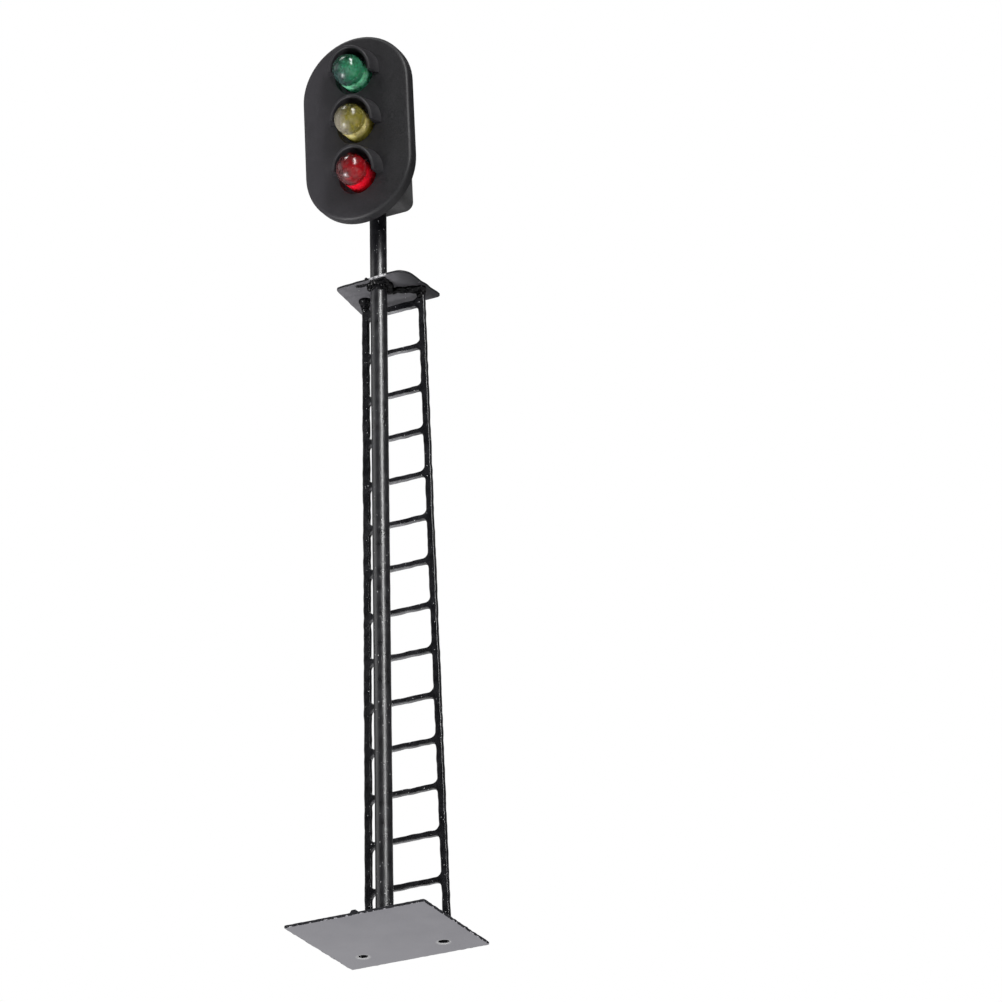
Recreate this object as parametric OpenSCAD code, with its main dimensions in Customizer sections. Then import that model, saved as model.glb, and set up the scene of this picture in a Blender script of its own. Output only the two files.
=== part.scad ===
// Model railway colour-light signal mast with three lamps, a tubular mast,
// a ladder with a small platform, and a thin base plate.
// Millimetres, +Z up. The origin is where the mast's axis meets the underside of the
// base plate. The lamps face -Y and the ladder stands behind the mast, on +Y.

/* [Base plate] */
// Width of the base plate, left to right
base_w = 13.7; // [12:0.1:18]
// Depth of the base plate, front to back
base_d = 12.6; // [11:0.1:16]
// Thickness of the base plate
base_t = 0.25; // [0.2:0.05:1]
// How far the middle of the base plate lies behind the mast
base_shift = 0.45; // [0:0.05:0.6]
// Diameter of the two small holes near the ladder's feet
hole_d = 0.85; // [0.5:0.05:1]
// Distance between the two holes
hole_spacing = 7.95; // [7:0.05:9]
// How far the middle of the two holes lies to the left of the mast
hole_shift = 0.35; // [0:0.05:0.5]
// Distance of the two holes behind the mast
hole_back = 4.15; // [3:0.05:5]

/* [Mast] */
// Outer diameter of the mast tube
mast_od = 1.6; // [1.2:0.05:2]
// Inner diameter of the mast tube
mast_id = 1; // [0.8:0.05:1.1]
// Height of the mast tube's top end
mast_top = 76; // [74:0.5:77]
// Diameter of the hole at the foot where the leads come out
exit_d = 0.8; // [0.6:0.05:0.9]

/* [Ladder] */
// Number of rungs
rung_count = 14; // [6:1:14]
// Distance from one rung to the next
rung_pitch = 4.4; // [3.5:0.1:4.4]
// Height of the lowest rung
rung_first = 5.85; // [4:0.05:6]
// Distance between the rails' middles at the base
ladder_foot_w = 7.8; // [6.5:0.1:9]
// Distance between the rails' middles at the platform
ladder_top_w = 5.9; // [5:0.1:6.4]
// How far the ladder's middle lies to the right of the mast
ladder_shift = 0.1; // [0:0.05:0.2]
// Distance of the ladder behind the mast at the base
ladder_foot_y = 4.25; // [3.5:0.05:5]
// Distance of the ladder behind the mast at the platform
ladder_top_y = 2.8; // [2.4:0.05:3.2]
// Width of a rail
rail_w = 0.65; // [0.4:0.05:0.8]
// Thickness of the ladder sheet
ladder_t = 0.5; // [0.3:0.05:0.7]
// Height of a rung
rung_h = 0.5; // [0.3:0.05:0.7]
// Radius in the corners between rungs and rails
ladder_fillet = 0.55; // [0.2:0.05:0.8]

/* [Platform] */
// Height of the platform's underside
platform_z = 64.4; // [64:0.1:66]
// Thickness of the platform sheet
platform_t = 0.25; // [0.2:0.05:0.7]
// Reach of the front edge to the left of the mast
platform_left_x = 4; // [3.5:0.1:5]
// Reach of the front edge to the right of the mast
platform_right_x = 3.5; // [3.5:0.1:5]
// Width of the platform at its back edge
platform_back_w = 8.4; // [8:0.1:10]
// Distance of the front edge's left end ahead of the mast
platform_left_y = 1.15; // [1:0.05:2.5]
// Distance of the front edge's right end ahead of the mast
platform_right_y = 1.6; // [1.4:0.05:2.5]
// Distance of the back edge behind the mast
platform_back_y = 4.75; // [4:0.05:6]
// Radius of the front left corner
platform_left_r = 0.4; // [0.2:0.1:2]
// Radius of the front right corner
platform_right_r = 1.4; // [0.2:0.1:2]
// Radius of the back corners
platform_back_r = 0.4; // [0.2:0.1:1.5]

/* [Signal head] */
// Width of the target plate
plate_w = 11.3; // [10:0.1:14]
// Height of the target plate
plate_h = 19.2; // [18:0.1:24]
// Thickness of the target plate
plate_t = 1.2; // [1:0.05:1.4]
// Rounding of the target plate's front edge
plate_edge_r = 0.4; // [0.1:0.05:0.6]
// Height of the target plate's middle
head_z = 79.35; // [79:0.05:81]
// Distance of the target plate's face ahead of the mast
head_y = 4.35; // [4.2:0.05:4.6]
// Forward nod of the head, in degrees
head_nod = 3.5; // [0:0.5:4]
// Width of the rear cover
cover_w = 6.4; // [6:0.1:8]
// Height of the rear cover
cover_h = 15.4; // [15.4:0.1:16]
// Depth of the rear cover
cover_depth = 4.25; // [4.2:0.05:5]
// Wall thickness of the rear cover
cover_wall = 0.5; // [0.4:0.05:0.6]
// Corner radius of the rear cover
cover_r = 0.9; // [0.6:0.1:1.5]

/* [Lamps] */
// Diameter of a lamp
lamp_d = 3; // [2.5:0.1:3.2]
// Distance from one lamp to the next
lamp_pitch = 5.3; // [5:0.1:5.3]
// Height of the middle lamp above the target plate's middle
lamp_shift = 0.3; // [0:0.05:0.5]
// How far a lamp's tip stands ahead of the target plate
lamp_reach = 2.7; // [2:0.1:3]
// Diameter of a lamp's flange
flange_d = 3.6; // [3.4:0.1:3.6]
// Outer diameter of a hood at its front edge
hood_d = 4.6; // [4.2:0.1:5]
// Outer diameter of a hood at the target plate
hood_root_d = 5.3; // [4.6:0.1:5.4]
// Wall thickness of a hood at its front edge
hood_wall = 0.35; // [0.25:0.05:0.5]
// How far the top of a hood reaches ahead of the target plate
hood_reach = 1.9; // [1.2:0.1:2.5]
// How far the sides of a hood reach ahead of the target plate
hood_side_reach = 1.1; // [0.6:0.1:1.5]
// Turn of the hoods about their lamps, clockwise from the front, in degrees
hood_turn = 11; // [0:1:15]

/* [Hidden] */
$fn = 48;

black = [0.09, 0.09, 0.10];
plastic = [0.16, 0.16, 0.17];
steel = [0.55, 0.55, 0.56];
solder = [0.30, 0.30, 0.31];
tin = [0.75, 0.75, 0.72];
board_green = [0.10, 0.32, 0.20];
green = [0.25, 0.62, 0.45];
yellow = [0.66, 0.62, 0.30];
red = [0.66, 0.12, 0.20];

eps = 0.01;
far = 200;
lamp_r = lamp_d / 2;
lamp_clear = 0.05;
flange_t = 0.8;
lamp_length = lamp_reach + plate_t + flange_t;
lamp_z = [lamp_shift + lamp_pitch, lamp_shift, lamp_shift - lamp_pitch];
lamp_colours = [green, yellow, red];
hood_inner = hood_d / 2 - hood_wall;
hood_groove = 0.4;
recess_depth = 0.8;
groove_clear = 0.03;
ladder_lean = atan((ladder_foot_y - ladder_top_y) / platform_z);
nib_w = 0.9;
nib_h = 0.25;
rim_depth = 0.1;
rim_extra = 0.15;
rail_overrun = 1;

// Lamp legs and circuit board inside the head
leg_spacing = 2;
leg_w = 0.4;
leg_front_y = -0.3;
anvil_w = 0.9;
anvil_h = 1;
post_w = 0.6;
die_size = 0.3;
die_x = 0.2;
board_y = 2.55;
board_t = 0.4;
board_w = 5;
board_bottom = -6;
board_top = 7;
board_hole_d = 0.7;
leg_end_y = 3.2;
joint_r = 0.42;
joint_h = 0.2;

// Leads inside the mast
lead_d = 0.22;
lead_offset = 0.15;
lead_gap = 0.02;
exit_z = 2.2;
lead_turn_z = [76.5, 76.5, 77, 77];

// Mast socket inside the rear cover
socket_od = 2.2;
socket_bottom = 72;
socket_top = 75.6;
mast_clear = 0.02;

// Places its children in the frame of the signal head: the origin is the middle of the
// target plate's face, with +Y towards the back of the head.
module in_head() {
    translate([0, -head_y, head_z]) rotate([head_nod, 0, 0]) children();
}

// Repeats its children at the three lamps, in the frame of the signal head.
module at_lamps() {
    for (z = lamp_z) translate([0, 0, z]) children();
}

// A cylinder along Y from y0 to y1
module rod_y(d, y0, y1) {
    translate([0, y1, 0]) rotate([90, 0, 0]) cylinder(d = d, h = y1 - y0);
}

// Everything between two heights
module slice(z0, z1) {
    translate([-far / 2, -far / 2, z0]) cube([far, far, z1 - z0]);
}

// ---- Base ----

// A hole through the base plate, slightly flared at the underside
module base_hole() {
    translate([0, 0, -eps]) cylinder(d = hole_d, h = base_t + 2 * eps);
    translate([0, 0, -eps])
        cylinder(d1 = hole_d + 2 * rim_extra, d2 = hole_d, h = rim_depth + eps);
}

module base_plate() {
    front_y = base_shift - base_d / 2;
    color(steel) {
        difference() {
            translate([-base_w / 2, front_y, 0]) cube([base_w, base_d, base_t]);
            for (side = [-1, 1])
                translate([side * hole_spacing / 2 - hole_shift, hole_back, 0]) base_hole();
        }
        // stub left on the front edge where the plate was broken off its fret
        translate([-nib_w / 2, front_y, base_t - eps]) cube([nib_w, nib_h, nib_h + eps]);
    }
}

// ---- Mast ----

module mast_tube() {
    color(black) difference() {
        translate([0, 0, base_t]) cylinder(d = mast_od, h = mast_top - base_t);
        translate([0, 0, base_t - eps]) cylinder(d = mast_id, h = mast_top - base_t + 2 * eps);
        translate([0, 0, exit_z]) rod_y(exit_d, 0, mast_od);
    }
}

module mast_foot_solder() {
    foot_r = 1.5;
    foot_h = 0.6;
    lip = 0.1;
    color(solder) translate([0, 0, base_t]) difference() {
        cylinder(r1 = foot_r, r2 = mast_od / 2 + lip, h = foot_h);
        translate([0, 0, -eps]) cylinder(d = mast_od, h = foot_h + 2 * eps);
    }
}

// ---- Ladder ----

// Distance of a rail's middle from the ladder's middle, at a height
function rail_x(z) = (ladder_foot_w + (ladder_top_w - ladder_foot_w) * z / platform_z) / 2;

module rail_outline(side) {
    top = platform_z + rail_overrun;
    foot_x = side * rail_x(-rail_overrun);
    top_x = side * rail_x(top);
    polygon([
        [foot_x - rail_w / 2, -rail_overrun],
        [foot_x + rail_w / 2, -rail_overrun],
        [top_x + rail_w / 2, top],
        [top_x - rail_w / 2, top]
    ]);
}

// The rounded inner corner where a rung meets a rail
module corner_outline(side, up) {
    r = ladder_fillet;
    overlap = 0.1;
    mirror([side > 0 ? 0 : 1, 0]) mirror([0, up > 0 ? 0 : 1]) difference() {
        translate([-r, -overlap]) square([r + overlap, r + overlap]);
        translate([-r, r]) circle(r = r);
    }
}

module ladder_outline() {
    for (side = [-1, 1]) rail_outline(side);
    for (i = [0 : rung_count - 1]) {
        z = rung_first + i * rung_pitch;
        half = rail_x(z);
        translate([-half, z - rung_h / 2]) square([2 * half, rung_h]);
        for (side = [-1, 1], up = [-1, 1])
            translate([side * (half - rail_w / 2), z + up * rung_h / 2]) corner_outline(side, up);
    }
}

module in_ladder() {
    translate([ladder_shift, ladder_foot_y, 0]) rotate([90 + ladder_lean, 0, 0]) children();
}

module ladder() {
    color(black) intersection() {
        in_ladder() linear_extrude(ladder_t, center = true) ladder_outline();
        slice(base_t, platform_z);
    }
}

// Both rails without their rungs, to leave room for them in the solder
module rails() {
    in_ladder() linear_extrude(ladder_t, center = true)
        for (side = [-1, 1]) rail_outline(side);
}

module ladder_foot_solder() {
    foot_r = 1;
    top_r = 0.45;
    foot_h = 0.5;
    color(solder) difference() {
        for (side = [-1, 1])
            translate([side * rail_x(0) + ladder_shift, ladder_foot_y, base_t])
                cylinder(r1 = foot_r, r2 = top_r, h = foot_h);
        rails();
    }
}

// ---- Platform ----

// Direction in which the common outer tangent of two corner circles faces
function tangent_angle(a, b, ra, rb) =
    let (step = b - a) atan2(step.y, step.x) - 90 + asin((ra - rb) / norm(step));

function polar(r, angle) = [r * cos(angle), r * sin(angle)];

module rounded_outline(centres, radii) {
    count = len(centres);
    points = [
        for (i = [0 : count - 1])
            let (j = (i + 1) % count,
                 angle = tangent_angle(centres[i], centres[j], radii[i], radii[j]))
            each [centres[i] + polar(radii[i], angle), centres[j] + polar(radii[j], angle)]
    ];
    polygon(points);
    for (i = [0 : count - 1]) translate(centres[i]) circle(r = radii[i]);
}

module platform() {
    back_x = platform_back_w / 2 - platform_back_r;
    back = platform_back_y - platform_back_r;
    centres = [
        [-platform_left_x + platform_left_r, -platform_left_y + platform_left_r],
        [platform_right_x - platform_right_r, -platform_right_y + platform_right_r],
        [back_x, back],
        [-back_x, back]
    ];
    radii = [platform_left_r, platform_right_r, platform_back_r, platform_back_r];
    color(black) translate([0, 0, platform_z]) difference() {
        linear_extrude(platform_t) rounded_outline(centres, radii);
        translate([0, 0, -eps]) cylinder(d = mast_od + 2 * mast_clear, h = platform_t + 2 * eps);
    }
}

module platform_mast_solder() {
    ring_r = 1.3;
    ring_h = 0.8;
    lip = 0.08;
    color(solder) translate([0, 0, platform_z - ring_h]) difference() {
        cylinder(r1 = mast_od / 2 + lip, r2 = ring_r, h = ring_h);
        translate([0, 0, -eps]) cylinder(d = mast_od, h = ring_h + 2 * eps);
    }
}

module platform_ladder_solder() {
    low_r = 0.45;
    blob_r = 0.75;
    blob_h = 0.7;
    color(solder) difference() {
        for (side = [-1, 1])
            translate([side * rail_x(platform_z) + ladder_shift, ladder_top_y, platform_z - blob_h])
                cylinder(r1 = low_r, r2 = blob_r, h = blob_h);
        rails();
    }
}

// ---- Signal head ----

// Half of the target plate's section: x outwards, y from the face to the back
module plate_section(half_w) {
    r = plate_edge_r;
    translate([0, r]) square([half_w, plate_t - r]);
    square([half_w - r, plate_t]);
    translate([half_w - r, r]) circle(r = r);
}

module plate_end(half_w) {
    rotate([-90, 0, 0]) rotate_extrude(angle = 180) plate_section(half_w);
}

module plate_blank() {
    half_w = plate_w / 2;
    straight = plate_h - plate_w;
    for (side = [0, 1]) mirror([side, 0, 0])
        translate([0, 0, -straight / 2]) linear_extrude(straight) plate_section(half_w);
    translate([0, 0, -straight / 2]) plate_end(half_w);
    mirror([0, 0, 1]) translate([0, 0, -straight / 2]) plate_end(half_w);
}

// Upper half of a tapered ring around a lamp, from y0 to y1 in front of the plate
module half_ring(outer_root, outer_front, inner, y0, y1) {
    rotate([90, 0, 0]) rotate_extrude(angle = 180) polygon([
        [inner, y0], [outer_root, y0], [outer_root, 0], [outer_front, y1], [inner, y1]
    ]);
}

module target_plate() {
    color(plastic) in_head() difference() {
        plate_blank();
        at_lamps() rod_y(lamp_d + 2 * lamp_clear, -eps, plate_t + eps);
        // wide recess around each lamp, flush with the inside of its hood
        at_lamps() rod_y(2 * hood_inner, -eps, recess_depth);
        at_lamps() rotate([0, hood_turn, 0])
            half_ring(hood_root_d / 2 + groove_clear, hood_root_d / 2 + groove_clear,
                      hood_inner - groove_clear, -hood_groove - groove_clear, eps);
    }
}

module hood(i) {
    top = hood_root_d / 2 + 1;
    slope = (hood_reach - hood_side_reach) / (hood_d / 2);
    color(plastic) in_head() translate([0, 0, lamp_z[i]]) rotate([0, hood_turn, 0]) intersection() {
        half_ring(hood_root_d / 2, hood_d / 2, hood_inner, -hood_groove, 2 * hood_reach);
        rotate([90, 0, -90]) linear_extrude(far, center = true) polygon([
            [-hood_groove, -eps],
            [-hood_groove, top],
            [hood_side_reach + slope * top, top],
            [hood_side_reach, -eps]
        ]);
    }
}

module hood_green() { hood(0); }
module hood_yellow() { hood(1); }
module hood_red() { hood(2); }

// ---- Lamps ----

// A rectangular bar along Y
module bar(w, h, y0, y1) {
    translate([-w / 2, y0, -h / 2]) cube([w, y1 - y0, h]);
}

// The leg that carries the die, in the frame of one lamp
module cathode() {
    translate([leg_spacing / 2, 0, 0]) bar(leg_w, leg_w, leg_front_y + anvil_h / 2, leg_end_y);
    translate([(leg_spacing - anvil_w) / 2, 0, 0])
        bar(anvil_w + leg_w, leg_w, leg_front_y, leg_front_y + anvil_h);
}

module anode() {
    translate([-leg_spacing / 2, 0, 0]) bar(leg_w, leg_w, leg_front_y + anvil_h / 2, leg_end_y);
    translate([(post_w - leg_w - leg_spacing) / 2, 0, 0])
        bar(post_w, leg_w, leg_front_y, leg_front_y + anvil_h);
}

module die() {
    translate([die_x, 0, 0]) bar(die_size, die_size, leg_front_y - die_size, leg_front_y);
}

// Half of a lamp's section: x outwards, y from the flange's back to the dome's tip
module lamp_section() {
    square([flange_d / 2, flange_t]);
    square([lamp_r, lamp_length - lamp_r]);
    translate([0, lamp_length - lamp_r]) intersection() {
        circle(r = lamp_r);
        square(lamp_r);
    }
}

module lamp(i) {
    color(lamp_colours[i], 0.7) in_head() translate([0, 0, lamp_z[i]]) difference() {
        translate([0, plate_t + flange_t, 0]) rotate([90, 0, 0]) rotate_extrude() lamp_section();
        cathode();
        anode();
        die();
    }
}

module lamp_green() { lamp(0); }
module lamp_yellow() { lamp(1); }
module lamp_red() { lamp(2); }

module lamp_anodes() { color(tin) in_head() at_lamps() anode(); }
module lamp_cathodes() { color(tin) in_head() at_lamps() cathode(); }
module lamp_dies() { color(yellow) in_head() at_lamps() die(); }

// ---- Inside and behind the head ----

module cover_outline(inset) {
    x = cover_w / 2 - cover_r;
    z = cover_h / 2 - cover_r;
    r = cover_r - inset;
    rounded_outline([[-x, -z], [x, -z], [x, z], [-x, z]], [r, r, r, r]);
}

// A solid of the cover's outline between two depths in the head
module cover_block(inset, y0, y1) {
    translate([0, y1, lamp_shift]) rotate([90, 0, 0]) linear_extrude(y1 - y0) cover_outline(inset);
}

module rear_cover() {
    back = plate_t + cover_depth;
    color(plastic) difference() {
        in_head() difference() {
            cover_block(0, plate_t, back);
            cover_block(cover_wall, plate_t - eps, back - cover_wall);
        }
        translate([0, 0, platform_z])
            cylinder(r = mast_od / 2 + mast_clear, h = socket_top - platform_z);
    }
}

module mast_socket() {
    color(plastic) difference() {
        intersection() {
            translate([0, 0, socket_bottom]) cylinder(d = socket_od, h = socket_top - socket_bottom);
            in_head() cover_block(cover_wall, plate_t, plate_t + cover_depth - cover_wall);
        }
        translate([0, 0, platform_z]) cylinder(r = mast_od / 2 + mast_clear, h = mast_top - platform_z);
    }
}

module lamp_board() {
    color(board_green) in_head() difference() {
        translate([-board_w / 2, board_y, board_bottom])
            cube([board_w, board_t, board_top - board_bottom]);
        at_lamps() for (side = [-1, 1])
            translate([side * leg_spacing / 2, 0, 0])
                rod_y(board_hole_d, board_y - eps, board_y + board_t + eps);
    }
}

module board_solder() {
    y = board_y + board_t;
    color(tin) in_head() difference() {
        at_lamps() for (side = [-1, 1])
            translate([side * leg_spacing / 2, 0, 0]) rod_y(2 * joint_r, y, y + joint_h);
        at_lamps() {
            anode();
            cathode();
        }
    }
}

// One insulated lead, from the circuit board down the mast and out at its foot
module lead(i) {
    x = (i % 2 == 0 ? -1 : 1) * lead_offset;
    y = (i < 2 ? -1 : 1) * lead_offset;
    low_z = exit_z + (i < 2 ? -1 : 1) * lead_offset;
    high_z = lead_turn_z[i];
    board_back = (board_y + board_t) * cos(head_nod) - head_y - (high_z - head_z) * sin(head_nod);
    translate([x, y, low_z]) cylinder(d = lead_d, h = high_z - low_z);
    for (z = [low_z, high_z]) translate([x, y, z]) sphere(d = lead_d);
    translate([x, 0, high_z]) rod_y(lead_d, board_back + lead_gap, y);
    translate([x, 0, low_z]) rod_y(lead_d, y, mast_od / 2);
}

module lead_common() { color(black) lead(0); }
module lead_green() { color(green) lead(1); }
module lead_yellow() { color(yellow) lead(2); }
module lead_red() { color(red) lead(3); }

base_plate();
mast_tube();
mast_foot_solder();
ladder();
ladder_foot_solder();
platform();
platform_mast_solder();
platform_ladder_solder();
target_plate();
hood_green();
hood_yellow();
hood_red();
lamp_green();
lamp_yellow();
lamp_red();
lamp_anodes();
lamp_cathodes();
lamp_dies();
rear_cover();
mast_socket();
lamp_board();
board_solder();
lead_common();
lead_green();
lead_yellow();
lead_red();
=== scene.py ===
import math

import bmesh
import bpy
import numpy as np
from mathutils import Matrix, Vector, noise


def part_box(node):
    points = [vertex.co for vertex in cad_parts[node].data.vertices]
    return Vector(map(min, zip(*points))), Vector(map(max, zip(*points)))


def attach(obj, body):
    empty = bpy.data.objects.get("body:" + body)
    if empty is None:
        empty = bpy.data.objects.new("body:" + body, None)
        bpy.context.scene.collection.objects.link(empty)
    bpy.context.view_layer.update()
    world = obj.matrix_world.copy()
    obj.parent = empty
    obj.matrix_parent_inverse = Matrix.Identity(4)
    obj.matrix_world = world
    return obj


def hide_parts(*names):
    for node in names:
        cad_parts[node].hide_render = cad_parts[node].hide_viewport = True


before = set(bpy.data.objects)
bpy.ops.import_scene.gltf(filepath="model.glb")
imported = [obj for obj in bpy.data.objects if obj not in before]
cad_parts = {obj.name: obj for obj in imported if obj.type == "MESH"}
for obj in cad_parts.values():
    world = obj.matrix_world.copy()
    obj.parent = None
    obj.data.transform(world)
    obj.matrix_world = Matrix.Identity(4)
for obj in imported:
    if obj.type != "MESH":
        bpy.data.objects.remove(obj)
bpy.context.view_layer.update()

# Model signal mast. Shapes are written in millimetres and turned into metres where a mesh is made.
# The frame is the part's own: +Z up, the lamps face -Y, the ladder stands behind the mast on +Y.
MM = 0.001

# Base plate: two small holes, flared below, and a break-off stub on the front edge
PLATE_CORNER = 0.12
PLATE_EDGE = 0.05
HOLE_R = 0.425
HOLE_SPACING = 7.95
HOLE_SHIFT = 0.35
HOLE_BACK = 4.15
HOLES = [(side * HOLE_SPACING / 2 - HOLE_SHIFT, HOLE_BACK) for side in (-1, 1)]
HOLE_EDGE = 0.04
STUB_WIDTH = 0.9
STUB_T = 0.25
STUB_EDGE = 0.05
STUB_OVERLAP = 0.02

# The flare of each hole narrows upwards through (inset, depth) points
FLARE_DEPTH = 0.1
FLARE_CURVE = [(0.15, 0), (0.12, 0.01), (0.02, 0.085), (0, FLARE_DEPTH)]

# Mast: a tube with a lead hole low on its back
MAST_WALL = 0.3
MAST_EDGE = 0.08
MAST_RINGS = 150
EXIT_R = 0.4
EXIT_Z = 2.2
EXIT_DRILL = 3

# Ladder: one sheet, cut through between its rungs
RUNG_COUNT = 14
RUNG_PITCH = 4.4
RUNG_FIRST = 5.85
RUNG_HEIGHT = 0.5
TOP_RUNG_EXTRA = 0.2
RAIL_WIDTH = 0.65
LADDER_THICKNESS = 0.5
LADDER_FILLET = 0.5
LADDER_EDGE = 0.11
LADDER_END_R = LADDER_EDGE + 0.03
TOP_BLOB_R = 0.75

# Platform
PLATFORM_LEFT = (-4.0, -1.15)
PLATFORM_RIGHT = (3.5, -1.6)
PLATFORM_SHARP_R = 0.4
PLATFORM_RIGHT_R = 1.4
PLATFORM_EDGE = 0.07
PLATFORM_HOLE_EDGE = 0.01
PLATFORM_HOLE_GAP = 0.02

# Solder, built of fused lumps
RING_BEADS = 14
FOOT_SOLDER_SINK = 0.03
SOLDER_SHARP = 60

# Signal head, which nods forward
HEAD_NOD = math.radians(3.5)
PLATE_T = 1.2
FACE_EDGE = 0.38
BACK_EDGE = 0.12
COVER_CORNER = 0.9
COVER_EDGE = 0.55
COVER_FRONT_EDGE = 0.03
LAMP_R = 1.5
LAMP_CLEAR = 0.05
FLANGE_R = 1.8
FLANGE_T = 0.8
FLANGE_EDGE = 0.05
FLANGE_GAP = 0.03
LAMP_FOOT = 0.02
LAMP_REACH = 2.7
HOOD_FRONT_R = 2.3
HOOD_ROOT_R = 2.65
HOOD_WALL = 0.35
HOOD_REACH = 1.9
HOOD_SIDE_REACH = 1.1
HOOD_ROOT_DEPTH = 0.35
HOOD_TURN = math.radians(11)

# The outside of a hood's root draws in by its neck and then spreads by its foot, where it meets the plate
HOOD_NECK = 0.02
HOOD_FOOT = 0.03
HOOD_FOOT_RISE = 0.08

# The recess round each lamp is flush with its hood's inside, and its edge is rounded through such points
RECESS_R = HOOD_FRONT_R - HOOD_WALL
RECESS_DEPTH = 0.8
RECESS_EDGE = [(0.07, 0), (0.03, 0.02), (0, 0.07)]

# Camera: the photograph's viewing angle, from below and to the right of the front
CAMERA_AZIMUTH = math.radians(25.66)
CAMERA_ELEVATION = math.radians(-25.70)
CAMERA_ROLL = math.radians(-1.325)
CAMERA_DISTANCE = 380.7
CAMERA_AIM = (9.65, 4.79, 41.77)
CAMERA_LENS = 149.53
CAMERA_SHIFT = (0.0024, -0.0002)

# Studio: the floor's size, the distances over which it fades out, and how bright the surroundings are to
# anything but the camera
FLOOR_REACH = 600
FLOOR_FADE = (180, 500)
SURROUNDINGS = 0.07

# Soft lights: name, azimuth and elevation, distance, width and height, radiance, height aimed at, and
# whether it is level
LIGHTS = [
    ("key_right", 50, 36, 420, 80, 330, 30, 45, False),
    ("fill_left", -62, 20, 420, 330, 220, 1.4, 45, False),
    ("top_left", -35, 64, 420, 90, 120, 14, 45, False),
    ("low_left", -50, -44, 82, 13, 13, 90, 72, True),
    ("low_left_soft", -50, -44, 84, 50, 50, 6, 72, True),
    ("back", 200, 28, 420, 260, 260, 1.8, 45, False),
    ("under", 20, -65, 420, 300, 300, 5.75, 0, False),
]


# ---- Places, from the frame ----

def box_mm(node):
    """Lowest and highest corner of a CAD node, in millimetres."""
    low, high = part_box(node)
    return low / MM, high / MM


HEAD_TURN = Matrix.Rotation(HEAD_NOD, 3, "X")


def head_box(node):
    """Lowest and highest corner of a CAD node in axes that nod with the head, in millimetres."""
    turn = np.array(HEAD_TURN)
    points = np.array([v.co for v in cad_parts[node].data.vertices]) @ turn / MM
    return Vector(points.min(0)), Vector(points.max(0))


plate_low, plate_high = head_box("target_plate")
HEAD_ORIGIN = Vector((0, plate_low.y, (plate_low.z + plate_high.z) / 2))


def in_head(x, y, z):
    """A point of the head's own frame: origin at the middle of the target plate's face, +Y to the back."""
    return HEAD_TURN @ (HEAD_ORIGIN + Vector((x, y, z)))


def lamp_height(node):
    """A lamp's height above the middle of the target plate, along the head."""
    low, high = head_box(node)
    return (low.z + high.z) / 2 - HEAD_ORIGIN.z


HEAD_MIDDLE = in_head(0, 0, 0)
HEAD_BACK = HEAD_TURN @ Vector((0, 1, 0))
LAMPS = {colour: lamp_height("lamp_" + colour) for colour in ("green", "yellow", "red")}


# ---- Mesh tools ----

# Width of the flat rim round a sheet's two faces
RIM = 0.008


def finish_piece(name, mesh, material, nodes, sharp=35):
    """Smooths a mesh up to the angle sharp, rides it on the body and lets it stand for its CAD nodes."""
    flat = mesh.attributes.get("flat")
    for polygon in mesh.polygons:
        polygon.use_smooth = not (flat and flat.data[polygon.index].value)
    mesh.set_sharp_from_angle(angle=math.radians(sharp))
    mesh.materials.append(material)
    piece = bpy.data.objects.new(name, mesh)
    bpy.context.scene.collection.objects.link(piece)
    weighted = piece.modifiers.new("weighted", "WEIGHTED_NORMAL")
    weighted.keep_sharp = True
    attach(piece, "root")
    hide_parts(*nodes)
    return piece


def mesh_of(bm, name):
    """Turns a finished bmesh into a mesh, its seams closed and its faces turned outwards."""
    bmesh.ops.remove_doubles(bm, verts=bm.verts, dist=2e-7)
    bmesh.ops.recalc_face_normals(bm, faces=bm.faces)
    mesh = bpy.data.meshes.new(name)
    bm.to_mesh(mesh)
    bm.free()
    return mesh


def wobble(bm, amount, size):
    """Moves every vertex a little along its normal, as brushed paint does. Both values are in millimetres."""
    bm.normal_update()
    shifts = [amount * MM * noise.noise(v.co / (size * MM)) for v in bm.verts]
    for vertex, shift in zip(bm.verts, shifts):
        vertex.co += vertex.normal * shift


def drift(amount, size, seed):
    """A small smooth shift within a sheet's own plane, as hand cutting leaves it. amount and size are in
    millimetres, and seed picks the pattern."""
    other_way = Vector((0, 0, 7.3))

    def shift(p):
        here = Vector((p.x / size, p.y / size, seed))
        return p + amount * Vector((noise.noise(here), noise.noise(here + other_way)))
    return shift


def rounded_loop(corners, radii, inset, steps, spacing):
    """A closed outline with round corners, moved inwards by inset. Corners go counter-clockwise. Each
    corner gets a number of steps, and the straight stretches get points about spacing apart."""
    arcs = []
    count = len(corners)
    for i, (corner, radius) in enumerate(zip(corners, radii)):
        here = Vector(corner)
        before = (here - Vector(corners[i - 1])).normalized()
        step = Vector(corners[(i + 1) % count]) - here
        after = step.normalized()
        inward_before = Vector((-before.y, before.x))
        inward_after = Vector((-after.y, after.x))
        turn = math.atan2(before.x * after.y - before.y * after.x, before.dot(after))
        side = 1 if turn > 0 else -1
        r = radius - side * inset
        apex = here + inset * (inward_before + inward_after) / (1 + inward_before.dot(inward_after))
        start = apex - before * (r * math.tan(abs(turn) / 2))
        centre = start + inward_before * (side * r)
        arc = [centre + Matrix.Rotation(turn * k / steps, 2) @ (start - centre) for k in range(steps + 1)]
        arcs.append((arc, step.length))
    outline = []
    for i, (arc, length) in enumerate(arcs):
        outline.extend(arc)
        first, last = arc[-1], arcs[(i + 1) % count][0][0]
        pieces = max(1, round(length / spacing))
        outline.extend(first.lerp(last, k / pieces) for k in range(1, pieces))
    return outline


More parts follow.
